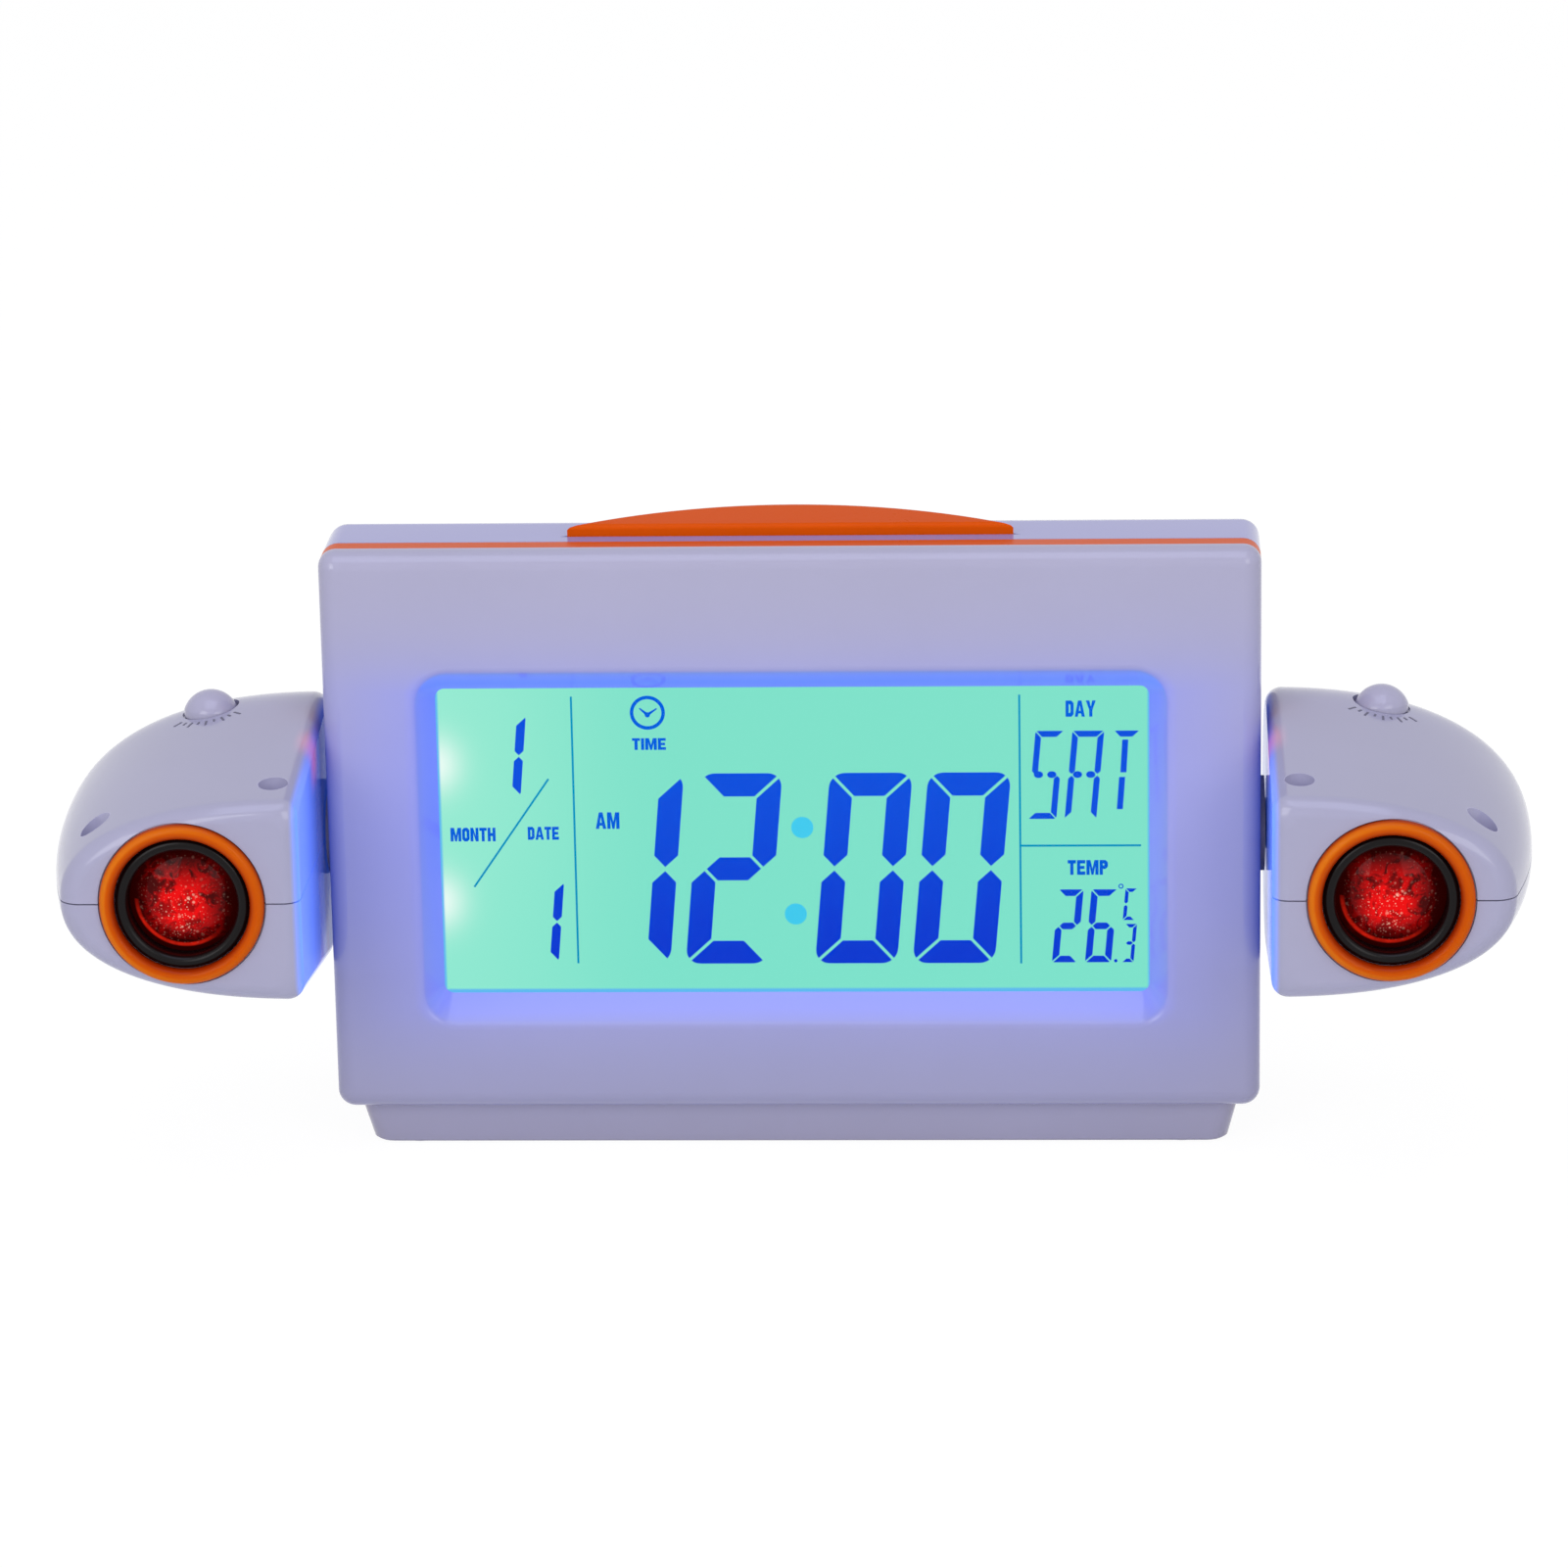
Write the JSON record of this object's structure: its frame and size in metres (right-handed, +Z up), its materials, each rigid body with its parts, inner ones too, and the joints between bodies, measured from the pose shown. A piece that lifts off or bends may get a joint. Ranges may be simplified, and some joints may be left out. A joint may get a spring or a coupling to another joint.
{
  "type": "projection alarm clock",
  "caption": "Desk alarm clock with a sunk lit display, a snooze bar on top and a tilting projector pod at either side that throws the time onto a wall or ceiling.",
  "frame": {"origin": "on the table, under the middle of the clock's box with the pods pointing forward", "axes": "+Z up, -Y the way the display faces, +X to the right of someone reading the display"},
  "size_m": [0.23, 0.0724, 0.1016],
  "materials": {
    "shell_plastic": "fine moulded satin",
    "trim_plastic": "satin moulded orange",
    "black_plastic": "satin black",
    "clear_plastic": "clear polished",
    "display_glass": "lit display glass",
    "white_plastic": "white moulded",
    "led_resin": "clear resin",
    "lens_plastic": "red polished lens",
    "board": "solder-masked board",
    "rubber": "soft matt",
    "steel": "zinc-plated",
    "cell_jacket": "plain printed jacket"
  },
  "bodies": {
    "clock_body": {"front_shell": "shell_plastic", "trim_band": "trim_plastic", "rear_shell": "shell_plastic", "plinth": "shell_plastic", "rubber_feet": "rubber", "display_window": "clear_plastic", "display_glass": "display_glass", "light_guide": "white_plastic", "backlight_leds": "led_resin", "display_holder": "white_plastic", "zebra_strips": "rubber", "main_board": "board", "controller_blob": "black_plastic", "board_screws": "steel", "key_board": "board", "tact_switches": "black_plastic", "snooze_board": "board", "snooze_switch": "black_plastic", "speaker": "black_plastic", "battery_springs": "steel", "battery_plates": "steel", "battery_cells": "cell_jacket", "power_inlet": "black_plastic", "slide_switch": "steel", "case_screws": "steel", "plinth_screws": "steel", "pivot_washers": "rubber"},
    "snooze_bar": {"snooze_bar": "trim_plastic"},
    "mode_key": {"mode_key": "shell_plastic"},
    "set_key": {"set_key": "shell_plastic"},
    "up_key": {"up_key": "shell_plastic"},
    "down_key": {"down_key": "shell_plastic"},
    "switch_slider": {"switch_slider": "black_plastic"},
    "battery_door": {"battery_door": "shell_plastic"},
    "left_pod": {"left_upper_shell": "shell_plastic", "left_lower_shell": "shell_plastic", "left_trim_ring": "trim_plastic", "left_lens_barrel": "black_plastic", "left_lens": "lens_plastic", "left_pivot_shaft": "black_plastic", "left_pivot_clip": "steel", "left_pod_screws": "steel"},
    "left_focus_knob": {"left_focus_knob": "shell_plastic"},
    "left_film_carrier": {"left_film_carrier": "black_plastic", "left_image_film": "clear_plastic", "left_led": "led_resin", "left_led_board": "board"},
    "right_pod": {"right_upper_shell": "shell_plastic", "right_lower_shell": "shell_plastic", "right_trim_ring": "trim_plastic", "right_lens_barrel": "black_plastic", "right_lens": "lens_plastic", "right_pivot_shaft": "black_plastic", "right_pivot_clip": "steel", "right_pod_screws": "steel"},
    "right_focus_knob": {"right_focus_knob": "shell_plastic"},
    "right_film_carrier": {"right_film_carrier": "black_plastic", "right_image_film": "clear_plastic", "right_led": "led_resin", "right_led_board": "board"}
  },
  "joints": [
    {"name": "snooze_press", "type": "slide", "parent": "clock_body", "child": "snooze_bar", "axis": [0, 0, -1], "range_m": [0, 0.0012], "stiffness_N_per_m": 800},
    {"name": "mode_key_press", "type": "slide", "parent": "clock_body", "child": "mode_key", "axis": [0, -0.9744, -0.225], "range_m": [0, 0.001], "stiffness_N_per_m": 800},
    {"name": "set_key_press", "type": "slide", "parent": "clock_body", "child": "set_key", "axis": [0, -0.9744, -0.225], "range_m": [0, 0.001], "stiffness_N_per_m": 800},
    {"name": "up_key_press", "type": "slide", "parent": "clock_body", "child": "up_key", "axis": [0, -0.9744, -0.225], "range_m": [0, 0.001], "stiffness_N_per_m": 800},
    {"name": "down_key_press", "type": "slide", "parent": "clock_body", "child": "down_key", "axis": [0, -0.9744, -0.225], "range_m": [0, 0.001], "stiffness_N_per_m": 800},
    {"name": "switch_slide", "type": "slide", "parent": "clock_body", "child": "switch_slider", "axis": [-1, 0, 0], "range_m": [0, 0.003]},
    {"name": "battery_door_lift", "type": "slide", "parent": "clock_body", "child": "battery_door", "axis": [0, 0.9744, 0.225], "range_m": [0, 0.025]},
    {"name": "left_tilt", "type": "hinge", "parent": "clock_body", "child": "left_pod", "pos_m": [-0.0735, 0.00599, 0.0508], "axis": [-1, 0, 0], "range_deg": [0, 180]},
    {"name": "left_focus_turn", "type": "hinge", "parent": "left_pod", "child": "left_focus_knob", "pos_m": [-0.092, 0.00499, 0.07], "axis": [0, 0, 1], "range_deg": [-36, 36]},
    {"name": "left_film_slide", "type": "slide", "parent": "left_pod", "child": "left_film_carrier", "axis": [0, 1, 0], "range_m": [-0.0011, 0.0011]},
    {"name": "right_tilt", "type": "hinge", "parent": "clock_body", "child": "right_pod", "pos_m": [0.0735, 0.00599, 0.0508], "axis": [-1, 0, 0], "range_deg": [0, 180]},
    {"name": "right_focus_turn", "type": "hinge", "parent": "right_pod", "child": "right_focus_knob", "pos_m": [0.092, 0.00499, 0.07], "axis": [0, 0, 1], "range_deg": [-36, 36]},
    {"name": "right_film_slide", "type": "slide", "parent": "right_pod", "child": "right_film_carrier", "axis": [0, 1, 0], "range_m": [-0.0011, 0.0011]}
  ],
  "couplings": [
    {"joint": "left_focus_turn", "follows": "left_film_slide", "rad_per_m": -529.42},
    {"joint": "right_focus_turn", "follows": "right_film_slide", "rad_per_m": 529.42}
  ]
}
